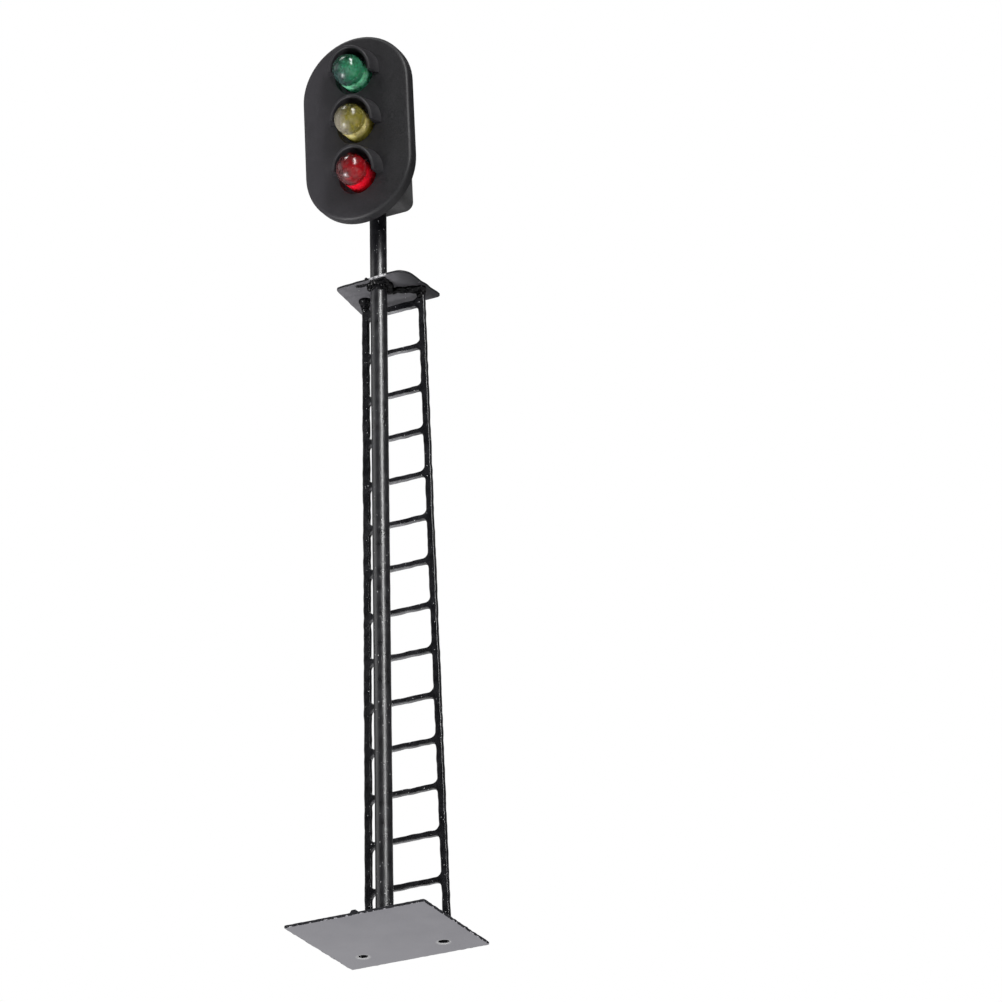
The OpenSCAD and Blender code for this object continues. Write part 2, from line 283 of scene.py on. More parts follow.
def edge_levels(thickness, front_r, back_r, steps=4):
    """Pairs of (inset, depth) that round a sheet's front and back edges. A narrow flat rim at either end
    keeps the shading of the faces even."""
    angles = [math.pi / 2 * k / steps for k in range(steps + 1)]
    front = [(front_r * (1 - math.sin(a)), front_r * (1 - math.cos(a))) for a in angles]
    back = [(back_r * (1 - math.sin(a)), thickness - back_r * (1 - math.cos(a)))
            for a in reversed(angles)]
    return [(front_r + RIM, 0)] + front + back + [(back_r + RIM, thickness)]


def sheet(loops, levels, place, steps=6, spacing=1.0, hole_levels=None, shift=lambda p: p):
    """A sheet with round edges. loops holds (corners, radii, side), with side 1 for the outline and -1 for a
    hole. levels are its (inset, depth) pairs, and hole_levels those of its holes if they differ. place turns
    (x, y, depth) into a point in millimetres, and shift moves a point within the sheet."""
    bm = bmesh.new()
    cap = bm.verts.layers.int.new("cap")
    flat = bm.faces.layers.int.new("flat")
    for corners, radii, side in loops:
        rings = []
        for inset, depth in (levels if side > 0 else hole_levels or levels):
            outline = [shift(p) for p in rounded_loop(corners, radii, side * inset, steps, spacing)]
            rings.append([bm.verts.new(place(p.x, p.y, depth) * MM) for p in outline])
        for mark, ring in ((1, rings[0]), (2, rings[-1])):
            for vertex in ring:
                vertex[cap] = mark
        count = len(rings[0])
        for ring, following in zip(rings, rings[1:]):
            for i in range(count):
                j = (i + 1) % count
                bm.faces.new((ring[i], ring[j], following[j], following[i]))
    bmesh.ops.remove_doubles(bm, verts=bm.verts, dist=1e-7)
    for mark in (1, 2):
        rim = [e for e in bm.edges if e.is_boundary and all(v[cap] == mark for v in e.verts)]
        for face in bmesh.ops.triangle_fill(bm, use_beauty=True, edges=rim)["geom"]:
            if isinstance(face, bmesh.types.BMFace):
                face[flat] = 1
    return bm


def circle_corners(x, y, r):
    """Corners and corner radii that make a circle of a rounded loop."""
    return [(x - r, y - r), (x + r, y - r), (x + r, y + r), (x - r, y + r)], [r] * 4


def lathe(profile, place, segments=72):
    """A closed turned shape from (radius, along) points. place turns (radius, angle, along) into a point."""
    bm = bmesh.new()
    rings = []
    for radius, along in profile:
        if radius == 0:
            rings.append([bm.verts.new(place(0, 0, along) * MM)])
            continue
        turns = [math.tau * k / segments for k in range(segments)]
        rings.append([bm.verts.new(place(radius, turn, along) * MM) for turn in turns])
    for ring, following in zip(rings, rings[1:]):
        for i in range(segments):
            j = (i + 1) % segments
            corners = [ring[i % len(ring)], ring[j % len(ring)], following[j % len(following)],
                       following[i % len(following)]]
            bm.faces.new(list(dict.fromkeys(corners)))
    return bm


def fused_lumps(lumps, voxel=0.05, smoothing=4):
    """Melts overlapping ellipsoids, each (centre, radii) in millimetres, into one closed lump."""
    bm = bmesh.new()
    for centre, radii in lumps:
        matrix = Matrix.LocRotScale(Vector(centre) * MM, None, Vector(radii) * MM)
        bmesh.ops.create_icosphere(bm, subdivisions=4, radius=1, matrix=matrix)
    mesh = bpy.data.meshes.new("lumps")
    bm.to_mesh(mesh)
    bm.free()
    source = bpy.data.objects.new("lumps", mesh)
    bpy.context.scene.collection.objects.link(source)
    remesh = source.modifiers.new("remesh", "REMESH")
    remesh.mode = "VOXEL"
    remesh.voxel_size = voxel * MM
    smooth = source.modifiers.new("smooth", "SMOOTH")
    smooth.iterations = smoothing
    evaluated = source.evaluated_get(bpy.context.evaluated_depsgraph_get())
    melted = bmesh.new()
    melted.from_mesh(evaluated.to_mesh())
    bpy.data.objects.remove(source)
    return melted


# ---- Material tools ----

class Shader:
    """A node material with one Principled shader, written as small steps."""

    def __init__(self, name):
        self.material = bpy.data.materials.new(name)
        self.material.use_nodes = True
        self.tree = self.material.node_tree
        self.principled = self.tree.nodes["Principled BSDF"]
        self.output = self.tree.nodes["Material Output"]
        self.place = self.add("ShaderNodeTexCoord").outputs["Object"]

    def add(self, kind, **settings):
        """Adds a node with the settings given."""
        node = self.tree.nodes.new(kind)
        for key, value in settings.items():
            setattr(node, key, value)
        return node

    def link(self, source, target):
        """Joins one node's output to another's input."""
        self.tree.links.new(source, target)

    def set(self, **values):
        """Sets constants on the Principled shader, with _ for a space in a socket's name."""
        for key, value in values.items():
            self.principled.inputs[key.replace("_", " ")].default_value = value

    def noise(self, size, detail, roughness=0.55):
        """Noise whose features are about size millimetres across."""
        mapping = self.add("ShaderNodeMapping")
        mapping.inputs["Scale"].default_value = [1 / (size * MM)] * 3
        self.link(self.place, mapping.inputs["Vector"])
        node = self.add("ShaderNodeTexNoise")
        node.inputs["Scale"].default_value = 1
        node.inputs["Detail"].default_value = detail
        node.inputs["Roughness"].default_value = roughness
        self.link(mapping.outputs["Vector"], node.inputs["Vector"])
        return node.outputs["Fac"]

    def specks(self, size, radius, share):
        """1 inside scattered dots of a radius, in a share of cells that are size across, in millimetres."""
        node = self.add("ShaderNodeTexVoronoi")
        node.inputs["Scale"].default_value = 1 / (size * MM)
        self.link(self.place, node.inputs["Vector"])
        near = self.math("LESS_THAN", node.outputs["Distance"], radius / size)
        split = self.add("ShaderNodeSeparateColor")
        self.link(node.outputs["Color"], split.inputs["Color"])
        chosen = self.math("LESS_THAN", split.outputs["Red"], share)
        return self.math("MULTIPLY", near, chosen)

    def math(self, operation, a, b=0.0, clamp=False):
        """The result of an operation on a and b, each a number or an output."""
        node = self.add("ShaderNodeMath", operation=operation, use_clamp=clamp)
        for socket, value in zip(node.inputs, (a, b)):
            if isinstance(value, (int, float)):
                socket.default_value = value
            else:
                self.link(value, socket)
        return node.outputs["Value"]

    def spread(self, value, low, high, to_low=0.0, to_high=1.0):
        """Maps the range from low to high onto another one, and stays within it."""
        node = self.add("ShaderNodeMapRange")
        for name, number in (("From Min", low), ("From Max", high), ("To Min", to_low), ("To Max", to_high)):
            node.inputs[name].default_value = number
        self.link(value, node.inputs["Value"])
        return node.outputs["Result"]

    def blend(self, factor, a, b):
        """Colour a where factor is 0 and colour b where it is 1. Each is a colour or an output."""
        node = self.add("ShaderNodeMix", data_type="RGBA")
        self.link(factor, node.inputs["Factor"])
        first_colour, second_colour, mixed_colour = node.inputs[6], node.inputs[7], node.outputs[2]
        for socket, value in ((first_colour, a), (second_colour, b)):
            if isinstance(value, tuple):
                socket.default_value = (*value, 1)
            else:
                self.link(value, socket)
        return mixed_colour

    def bump(self, height, depth, strength=1.0, under=None):
        """Bump of depth millimetres, over an earlier bump."""
        node = self.add("ShaderNodeBump")
        node.inputs["Strength"].default_value = strength
        node.inputs["Distance"].default_value = depth * MM
        self.link(height, node.inputs["Height"])
        if under is not None:
            self.link(under, node.inputs["Normal"])
        return node.outputs["Normal"]

    def along(self, direction, origin=(0, 0, 0)):
        """How many millimetres a point lies along a direction from an origin."""
        offset = self.add("ShaderNodeVectorMath", operation="SUBTRACT")
        self.link(self.place, offset.inputs[0])
        offset.inputs[1].default_value = Vector(origin) * MM
        dot = self.add("ShaderNodeVectorMath", operation="DOT_PRODUCT")
        self.link(offset.outputs["Vector"], dot.inputs[0])
        dot.inputs[1].default_value = Vector(direction) / MM
        return dot.outputs["Value"]

    def looks_down(self):
        """1 on faces that look down, 0 on the rest."""
        sideways, downwards = -0.55, -0.92
        way = self.add("ShaderNodeSeparateXYZ")
        self.link(self.add("ShaderNodeNewGeometry").outputs["Normal"], way.inputs["Vector"])
        return self.spread(way.outputs["Z"], sideways, downwards)

    def near(self, centre, inner, outer):
        """1 within inner millimetres of a point, fading to 0 at outer millimetres."""
        distance = self.add("ShaderNodeVectorMath", operation="DISTANCE")
        self.link(self.place, distance.inputs[0])
        distance.inputs[1].default_value = Vector(centre) * MM
        return self.spread(distance.outputs["Value"], inner * MM, outer * MM, 1, 0)

    def wear(self, colour=None, roughness=None, normal=None):
        """Links the outputs given to the Principled shader and returns the material."""
        for name, value in (("Base Color", colour), ("Roughness", roughness), ("Normal", normal)):
            if value is not None:
                self.link(value, self.principled.inputs[name])
        return self.material


# ---- Paints and other finishes. Colours are linear. ----

PAINT_DARK = (0.004, 0.004, 0.005)
PAINT_LIGHT = (0.011, 0.011, 0.013)
# colour of the pale specks: partly dust, partly painted glints
PAINT_DUST_AND_GLINT = (0.6, 0.6, 0.61)
DULLING_LENGTH = 2
DULLING_START = box_mm("platform")[1].z + 1.5


def times(factor, colour):
    """A darker or brighter version of a colour."""
    return tuple(factor * c for c in colour)


def black_paint(name, gloss, peel, dust_and_glint_share, painted_light=None, ior=1.5, coat=0.0, shade=1.0, dull_above=None):
    """Brushed enamel: uneven film, fine grit under it and pale specks on it, partly dust and partly painted
    glints.

    gloss is its lowest roughness, peel its unevenness in millimetres, and the next argument the share of
    cells with pale specks.
    The argument after that may give a mask and a colour of painted light for some faces. shade darkens it.
    The gloss fades out above the height dull_above, if one is given."""
    s = Shader(name)
    film = s.noise(0.9, 3)
    grit = s.noise(0.13, 2, 0.6)
    dust = s.math("MAXIMUM", s.specks(0.36, 0.04, dust_and_glint_share), s.specks(0.21, 0.028, 0.7 * dust_and_glint_share))
    colour = s.blend(s.spread(film, 0.35, 0.65), times(shade, PAINT_DARK), times(shade, PAINT_LIGHT))
    # painted light: some faces get a paler colour that stands in for light on them
    if painted_light:
        mask, painted_light_colour = painted_light(s)
        colour = s.blend(mask, colour, painted_light_colour)
    # pale specks: partly dust, partly painted glints that break up the highlights
    colour = s.blend(dust, colour, PAINT_DUST_AND_GLINT)
    roughness = s.spread(film, 0.3, 0.7, gloss, gloss + 0.14)
    normal = s.bump(film, peel * 2, 0.6)
    normal = s.bump(grit, peel, 1.0, normal)
    normal = s.bump(dust, 0.03, 1, normal)
    s.set(IOR=ior, Coat_Weight=coat, Coat_Roughness=0.25)
    if dull_above is not None:
        fade = s.spread(s.along((0, 0, 1)), dull_above, dull_above + DULLING_LENGTH)
        s.link(s.spread(fade, 0, 1, 0.5, 0.1), s.principled.inputs["Specular IOR Level"])
        s.link(s.spread(fade, 0, 1, coat, 0), s.principled.inputs["Coat Weight"])
    return s.wear(colour, roughness, normal)


def black_plastic(name, right_side_painted_light):
    """Satin moulded plastic with a fine spark-eroded grain. Its colour changes from left to right as painted
    light and shade.
    """
    s = Shader(name)
    left_dark, left_light = (0.0135, 0.0123, 0.0147), (0.019, 0.0177, 0.021)
    fluff, grain_tone, recess_painted_light = (0.3, 0.3, 0.31), (0.03, 0.029, 0.032), (0.06, 0.058, 0.065)
    cloud = s.noise(2.5, 3)
    grain = s.noise(0.13, 3, 0.6)
    dust = s.specks(1.9, 0.05, 0.12)
    left = s.blend(s.spread(cloud, 0.3, 0.7), left_dark, left_light)
    right = s.blend(s.spread(cloud, 0.3, 0.7), right_side_painted_light, times(1.5, right_side_painted_light))
    # painted light and shade: the colour shifts from the left tones to the right side's tone
    colour = s.blend(s.spread(s.along((1, 0, 0)), -4.5, 4.5), left, right)
    colour = s.blend(dust, colour, fluff)
    colour = s.blend(s.spread(grain, 0.4, 0.75, 0, 0.4), colour, grain_tone)
    # painted light: the recess walls round the lamps are painted paler, lifting their shade
    behind = s.math("GREATER_THAN", s.along(HEAD_BACK, HEAD_MIDDLE), 0.1)
    for height in LAMPS.values():
        recess = s.near(in_head(0, RECESS_DEPTH / 2, height), RECESS_R + 0.05, RECESS_R + 0.15)
        colour = s.blend(s.math("MULTIPLY", recess, behind), colour, recess_painted_light)
    roughness = s.spread(grain, 0.3, 0.7, 0.42, 0.62)
    normal = s.bump(cloud, 0.03, 0.4)
    normal = s.bump(grain, 0.012, 0.8, normal)
    s.set(IOR=1.36)
    return s.wear(colour, roughness, normal)


def resin(name, height, pale, deep, barrel, caustic_from, absorption, density):
    """Milky tinted lamp resin: a cloudy dome, paler to its left, in front of a band of the barrel painted
    bright, standing in for light focused through the dome.
    height is the lamp's along the head. The painted band starts the given distance behind the dome's foot, in
    the colour barrel, and the barrel behind it is painted deep, as shade in the recess. absorption and
    density colour the light that goes through."""
    s = Shader(name)
    haze = 0.25
    cloud = s.noise(0.7, 2)
    ripple = s.noise(0.35, 1)
    wisps = s.noise(0.45, 3, 0.6)
    equator = LAMP_R - LAMP_REACH
    back = s.along(HEAD_BACK, HEAD_MIDDLE)
    # painted light: a bright band where light focused through the dome leaves the barrel, and painted shade
    # past it
    start = equator + caustic_from
    caustic_band = s.spread(back, start - 0.1, start + 0.1)
    dim = s.spread(back, start + 0.5, start + 1.0)
    across = s.math("ADD", s.along((1, 0, 0)), s.spread(cloud, 0.3, 0.7, -0.35, 0.35))
    skin = s.blend(s.spread(across, -0.35, 0.65), pale, deep)
    # pale wisps in the resin, and a thin paler ring where the dome meets the barrel
    milk = tuple(haze + (1 - haze) * c for c in pale)
    off_ring = s.math("ABSOLUTE", s.math("SUBTRACT", back, equator - 0.12))
    ring = s.spread(off_ring, 0.04, 0.13, 0.22, 0)
    skin = s.blend(s.math("MAXIMUM", s.spread(wisps, 0.52, 0.72, 0, 0.2), ring), skin, milk)
    # painted shade: the resin is painted darkest at its top, under the hood
    to_the_top = HEAD_TURN @ Vector((0, -0.3, 1))
    painted_hood_shade = s.spread(s.along(to_the_top, in_head(0, 0, height)), 0.2, 1.6)
    skin = s.blend(painted_hood_shade, skin, times(0.18, deep))
    painted_caustic = s.blend(s.spread(wisps, 0.35, 0.6), times(0.6, barrel), barrel)
    # the barrel past the band is painted deep, as shade in the recess
    colour = s.blend(dim, s.blend(caustic_band, skin, painted_caustic), deep)
    roughness = s.spread(cloud, 0.35, 0.65, 0.12, 0.3)
    normal = s.bump(ripple, 0.012, 0.8)
    s.set(IOR=1.36, Subsurface_Weight=1.0, Subsurface_Radius=(1, 1, 1), Subsurface_Scale=0.3 * MM)
    s.link(s.spread(caustic_band, 0, 1, 0.6, 0.25), s.principled.inputs["Transmission Weight"])
    volume = s.add("ShaderNodeVolumeAbsorption")
    volume.inputs["Color"].default_value = (*absorption, 1)
    volume.inputs["Density"].default_value = density
    s.link(volume.outputs["Volume"], s.output.inputs["Volume"])
    return s.wear(colour, roughness, normal)


def metal(name, colour, dark, roughness):
    """Plated or soldered metal with a slightly mottled face."""
    s = Shader(name)
    mottle = s.noise(0.3, 3)
    tone = s.blend(s.spread(mottle, 0.3, 0.7), dark, colour)
    rough = s.spread(mottle, 0.3, 0.7, roughness, roughness + 0.18)
    s.set(Metallic=1.0)
    return s.wear(tone, rough, s.bump(mottle, 0.01, 0.5))


def coated(name, colour, roughness=0.45):
    """Lead insulation or board lacquer: one colour with slight clouding and a soft skin."""
    s = Shader(name)
    cloud = s.noise(0.4, 3)
    tone = s.blend(s.spread(cloud, 0.3, 0.7), times(0.7, colour), colour)
    rough = s.spread(cloud, 0.3, 0.7, roughness, roughness + 0.2)
    return s.wear(tone, rough, s.bump(cloud, 0.006, 0.5))


def base_finish():
    """Bare grey sheet metal underneath, black paint on top and over the edges."""
    s = Shader("base_finish")
    low, high = box_mm("base_plate")
    bare_dark, bare_light, bare_grain = (0.26, 0.256, 0.28), (0.33, 0.325, 0.35), (0.37, 0.365, 0.39)
    stain, pale_corner, pale_rim = (0.15, 0.15, 0.16), (0.46, 0.455, 0.48), (0.52, 0.52, 0.53)
    paint_dark, paint_light = (0.009, 0.009, 0.011), (0.022, 0.022, 0.026)
    fog = s.noise(3.5, 3)
    grain = s.noise(0.12, 3, 0.65)
    ragged = s.noise(0.35, 3, 0.6)
    marks = s.specks(2.6, 0.12, 0.12)
    bare = s.blend(s.spread(fog, 0.3, 0.7), bare_dark, bare_light)
    bare = s.blend(s.spread(grain, 0.25, 0.8), bare, bare_grain)
    bare = s.blend(marks, bare, stain)
    # the sheet is a little paler towards its back left corner, and round its holes
    bare = s.blend(s.spread(s.along((-0.7, 0.7, 0)), -5, 6, 0, 0.35), bare, pale_corner)
    for x, y in HOLES:
        bare = s.blend(s.near((x, y, 0), HOLE_R + 0.14, HOLE_R + 0.34), bare, pale_rim)
    paint = s.blend(s.spread(ragged, 0.3, 0.7), paint_dark, paint_light)
    # the paint covers the top and the edges, and creeps a little way underneath
    past_edge = []
    for axis, near, far in (((1, 0, 0), low.x, high.x), ((0, 1, 0), low.y, high.y)):
        off = s.math("ABSOLUTE", s.along(axis, [(near + far) / 2] * 3))
        past_edge.append(s.math("SUBTRACT", off, (far - near) / 2))
    edge = s.math("MAXIMUM", *past_edge)
    creep = s.spread(ragged, 0.25, 0.75, -0.06, 0.12)
    over = s.math("GREATER_THAN", s.math("ADD", edge, creep), 0)
    above = s.math("GREATER_THAN", s.along((0, 0, 1)), FLARE_DEPTH - 0.02)
    painted = s.math("MAXIMUM", over, above)
    colour = s.blend(painted, bare, paint)
    rough_bare = s.spread(grain, 0.3, 0.7, 0.5, 0.68)
    rough = s.math("ADD", rough_bare, s.math("MULTIPLY", painted, 0.1))
    normal = s.bump(grain, 0.008, 0.6)
    normal = s.bump(painted, 0.03, 1, normal)
    s.set(IOR=1.5)
    s.link(s.spread(painted, 0, 1, 0.5, 0.15), s.principled.inputs["Specular IOR Level"])
    return s.wear(colour, rough, normal)


def painted_light_under_rungs(s):
    """Painted light: the ladder's faces that look down are painted pale, where light from below would catch
    them, less so towards its right rail.
    """
    down = s.looks_down()
    across = s.spread(s.along((1, 0, 0)), 0.8, 2.8, 1, 0.25)
    patchy = s.spread(s.noise(0.7, 2), 0.3, 0.6, 0.5, 1)
    # pale grey, painted light on the ladder's undersides
    painted_light_colour = (0.17, 0.17, 0.18)
    return s.math("MULTIPLY", s.math("MULTIPLY", down, across), patchy), painted_light_colour


def painted_light_on_platform(s):
    """Painted light: the platform's faces that look down are painted with a grey sheen, strongest towards its
    left, and a stretch of its front edge with a pale highlight.
    """
    painted_sheen_colour, edge_highlight_colour = (0.1, 0.098, 0.106), (0.45, 0.45, 0.46)
    low = box_mm("platform")[0]
    front = low.y + 0.1
    x = s.along((1, 0, 0))
    across = s.math("MAXIMUM", s.spread(x, 3.3, -3, 0, 1), s.spread(x, 3.6, 1.6, 0.15, 0.8))
    patchy = s.spread(s.noise(0.9, 3), 0.25, 0.75, 0.6, 1.25)
    # painted highlight on a stretch of the front edge
    stretch = s.near((0.6, front, low.z), 0.85, 1.05)
    edge = s.spread(s.along((0.06, 1, 0), (0, front, 0)), 0.1, 0.2, 1, 0)
    painted_edge_highlight = s.math("MULTIPLY", s.math("MULTIPLY", stretch, edge), s.spread(s.noise(0.3, 2), 0.3, 0.5))
    painted_light_colour = s.blend(painted_edge_highlight, painted_sheen_colour, edge_highlight_colour)
    # painted sheen on the faces that look down, fading from left to right
    under = s.math("MULTIPLY", s.math("MULTIPLY", across, patchy, clamp=True), s.looks_down())
    return s.math("MAXIMUM", under, painted_edge_highlight), painted_light_colour


PAINT = black_paint("black_paint", gloss=0.26, peel=0.03, dust_and_glint_share=0.15, coat=0.3,
                    dull_above=DULLING_START)
LADDER_PAINT = black_paint("ladder_paint", gloss=0.14, peel=0.008, dust_and_glint_share=0.16, painted_light=painted_light_under_rungs)
SOLDER = black_paint("painted_solder", gloss=0.06, peel=0.012, dust_and_glint_share=0.02, ior=1.2, shade=0.3)
PLASTIC = black_plastic("black_plastic", right_side_painted_light=(0.004, 0.004, 0.0045))
COVER = black_plastic("cover_plastic", right_side_painted_light=(0.031, 0.031, 0.031))
RESINS = {
    "green": resin("green_resin", LAMPS["green"], pale=(0.05, 0.11, 0.10), deep=(0.055, 0.33, 0.175),
                   barrel=(0.34, 1.0, 0.6), caustic_from=0.5, absorption=(0.08, 0.72, 0.46), density=500),
    "yellow": resin("yellow_resin", LAMPS["yellow"], pale=(0.42, 0.38, 0.29), deep=(0.34, 0.30, 0.05),
                    barrel=(1.0, 0.86, 0.36), caustic_from=0.28, absorption=(0.86, 0.76, 0.20), density=300),
    "red": resin("red_resin", LAMPS["red"], pale=(0.15, 0.05, 0.053), deep=(0.48, 0.003, 0.01),
                 barrel=(1.0, 0.012, 0.035), caustic_from=0.36, absorption=(0.88, 0.05, 0.10), density=400),
}


# ---- Base plate ----

def base_plate():
    """Thin sheet with two holes, and the stub left standing where it was broken off its strip."""
    low, high = box_mm("base_plate")
    front = low.y
    thickness = box_mm("mast_tube")[0].z
    outline = [(low.x, front), (high.x, front), (high.x, high.y), (low.x, high.y)]
    loops = [(outline, [PLATE_CORNER] * 4, 1)]
    loops += [(*circle_corners(x, y, HOLE_R), -1) for x, y in HOLES]
    levels = edge_levels(thickness, PLATE_EDGE, PLATE_EDGE, 3)
    flared = [(FLARE_CURVE[0][0] + RIM, 0), *FLARE_CURVE]
    flared += [(0, thickness - HOLE_EDGE), (HOLE_EDGE, thickness), (HOLE_EDGE + RIM, thickness)]
    bm = sheet(loops, levels, lambda x, y, depth: Vector((x, y, depth)), steps=10, spacing=0.14,
               hole_levels=flared, shift=drift(amount=0.07, size=0.45, seed=2.6))
    # the break-off stub stands on the front edge and narrows unevenly upwards
    rise = high.z - thickness
    stub_outline = [(-STUB_WIDTH / 2, 0), (STUB_WIDTH / 2, 0),
                    (STUB_WIDTH / 5, rise), (-STUB_WIDTH / 4, rise)]
    stub_radii = [0.06, 0.06, 0.1, 0.12]
    stub = sheet([(stub_outline, stub_radii, 1)], edge_levels(STUB_T, STUB_EDGE, STUB_EDGE, 3),
                 lambda x, y, depth: Vector((x, front + depth, thickness - STUB_OVERLAP + y)), spacing=0.2)
    wobble(stub, amount=0.04, size=0.3)
    mesh = bpy.data.meshes.new("stub")
    stub.to_mesh(mesh)
    stub.free()
    bm.from_mesh(mesh)
    return finish_piece("base_sheet", mesh_of(bm, "base_sheet"), base_finish(), ["base_plate"])


# ---- Mast ----

def mast():
    """A tube with a rounded top edge, bored from behind for the leads."""
    low, high = box_mm("mast_tube")
    outer = high.x
    inner = outer - MAST_WALL
    steps = 4
    rounding = [math.pi / 2 * k / steps for k in range(steps + 1)]
    top = [(outer - MAST_EDGE + MAST_EDGE * math.cos(a), high.z - MAST_EDGE + MAST_EDGE * math.sin(a))
           for a in rounding]
    side = [(outer, low.z + (high.z - MAST_EDGE - low.z) * k / MAST_RINGS) for k in range(MAST_RINGS)]
    profile = side + top + [(inner, high.z), (inner, low.z), (outer, low.z)]
    bm = lathe(profile, lambda r, a, z: Vector((r * math.cos(a), r * math.sin(a), z)), segments=64)
    mesh = mesh_of(bm, "mast")
    piece = bpy.data.objects.new("mast_blank", mesh)
    bpy.context.scene.collection.objects.link(piece)
    drill = bmesh.new()
    turn = Matrix.Translation(Vector((0, EXIT_DRILL / 2, EXIT_Z)) * MM) @ Matrix.Rotation(math.pi / 2, 4, "X")
    bmesh.ops.create_cone(drill, cap_ends=True, segments=40, radius1=EXIT_R * MM, radius2=EXIT_R * MM,
                          depth=EXIT_DRILL * MM, matrix=turn)
    drill_mesh = bpy.data.meshes.new("drill")
    drill.to_mesh(drill_mesh)
    drill.free()
    cutter = bpy.data.objects.new("drill", drill_mesh)
    bpy.context.scene.collection.objects.link(cutter)
    cut = piece.modifiers.new("cut", "BOOLEAN")
    cut.operation = "DIFFERENCE"
    cut.object = cutter
    evaluated = piece.evaluated_get(bpy.context.evaluated_depsgraph_get())
    bored = bmesh.new()
    bored.from_mesh(evaluated.to_mesh())
    for scrap in (piece, cutter):
        bpy.data.objects.remove(scrap)
    wobble(bored, amount=0.012, size=1.1)
    return finish_piece("mast_pole", mesh_of(bored, "mast_pole"), PAINT, ["mast_tube"])


# ---- Ladder ----

def ladder_frame():
    """The ladder's driving lengths, from its CAD box: its lowest and highest z, its middle x, and the rails'
    half distance and y at the foot and at the top."""
    low, high = box_mm("ladder")
    middle = (low.x + high.x) / 2
    foot = (high.x - middle - RAIL_WIDTH / 2, high.y - LADDER_THICKNESS / 2)
    top = (box_mm("platform_ladder_solder")[1].x - TOP_BLOB_R - middle, low.y + LADDER_THICKNESS / 2)
    return low.z, high.z, middle, foot, top


def ladder():
    """One leaning sheet: two rails that draw together upwards, and rungs between round-cornered openings."""
    z0, z1, middle_x, foot, top = ladder_frame()

    def rail_x(z):
        return foot[0] + (top[0] - foot[0]) * z / z1

    def place(x, z, depth):
        middle = foot[1] + (top[1] - foot[1]) * z / z1
        return Vector((middle_x + x, middle - LADDER_THICKNESS / 2 + depth, z))

    half = RAIL_WIDTH / 2
    rungs = [RUNG_FIRST + i * RUNG_PITCH for i in range(RUNG_COUNT)]
    last_top = rungs[-1] + RUNG_HEIGHT / 2 + TOP_RUNG_EXTRA
    first_bottom = rungs[0] - RUNG_HEIGHT / 2

    def side_points(side):
        return [
            ((side * (rail_x(z0) - half), z0), LADDER_END_R),
            ((side * (rail_x(z0) + half), z0), LADDER_END_R),
            ((side * (rail_x(z1) + half), z1), LADDER_END_R),
            ((side * (rail_x(z1) - half), z1), LADDER_END_R),
            ((side * (rail_x(last_top) - half), last_top), LADDER_FILLET),
        ]

    right, left = side_points(1), side_points(-1)
    bottom = [((side * (rail_x(first_bottom) - half), first_bottom), LADDER_FILLET) for side in (-1, 1)]
    outline = [bottom[1]] + right + list(reversed(left)) + [bottom[0]]
    loops = [([p for p, r in outline], [r for p, r in outline], 1)]
    for low_rung, high_rung in zip(rungs, rungs[1:]):
        z_low = low_rung + RUNG_HEIGHT / 2
        z_high = high_rung - RUNG_HEIGHT / 2
        x_low, x_high = rail_x(z_low) - half, rail_x(z_high) - half
        corners = [(-x_low, z_low), (x_low, z_low), (x_high, z_high), (-x_high, z_high)]
        loops.append((corners, [LADDER_FILLET] * 4, -1))
    bm = sheet(loops, edge_levels(LADDER_THICKNESS, LADDER_EDGE, LADDER_EDGE), place, spacing=0.3,
               shift=drift(amount=0.06, size=0.8, seed=5.2))
    return finish_piece("ladder_sheet", mesh_of(bm, "ladder_sheet"), LADDER_PAINT,
                        ["ladder"])


# ---- Platform ----

def platform():
    """Thin sheet, its front edge at a slant and its front right corner well rounded."""
    low, high = box_mm("platform")
    corners = [PLATFORM_LEFT, PLATFORM_RIGHT, (high.x, high.y), (-high.x, high.y)]
    radii = [PLATFORM_SHARP_R, PLATFORM_RIGHT_R, PLATFORM_SHARP_R, PLATFORM_SHARP_R]
    hole, hole_radii = circle_corners(0, 0, box_mm("mast_tube")[1].x + PLATFORM_HOLE_GAP)
    loops = [(corners, radii, 1), (hole, hole_radii, -1)]
    thickness = high.z - low.z
    levels = edge_levels(thickness, PLATFORM_EDGE, PLATFORM_EDGE)
    hole_levels = edge_levels(thickness, PLATFORM_HOLE_EDGE, PLATFORM_HOLE_EDGE)
    bm = sheet(loops, levels, lambda x, y, depth: Vector((x, y, low.z + depth)), steps=10, spacing=0.3,
               hole_levels=hole_levels, shift=drift(amount=0.06, size=0.7, seed=1.4))
    paint = black_paint("platform_paint", gloss=0.5, peel=0.012, dust_and_glint_share=0.08, painted_light=painted_light_on_platform, ior=1.3)
    return finish_piece("platform_sheet", mesh_of(bm, "platform_sheet"), paint, ["platform"])


# ---- Solder. Its lumps are (centre, radii). ----

def ring_points(count):
    """Points evenly round a unit circle."""
    return [(math.cos(a), math.sin(a)) for a in (math.tau * k / count for k in range(count))]


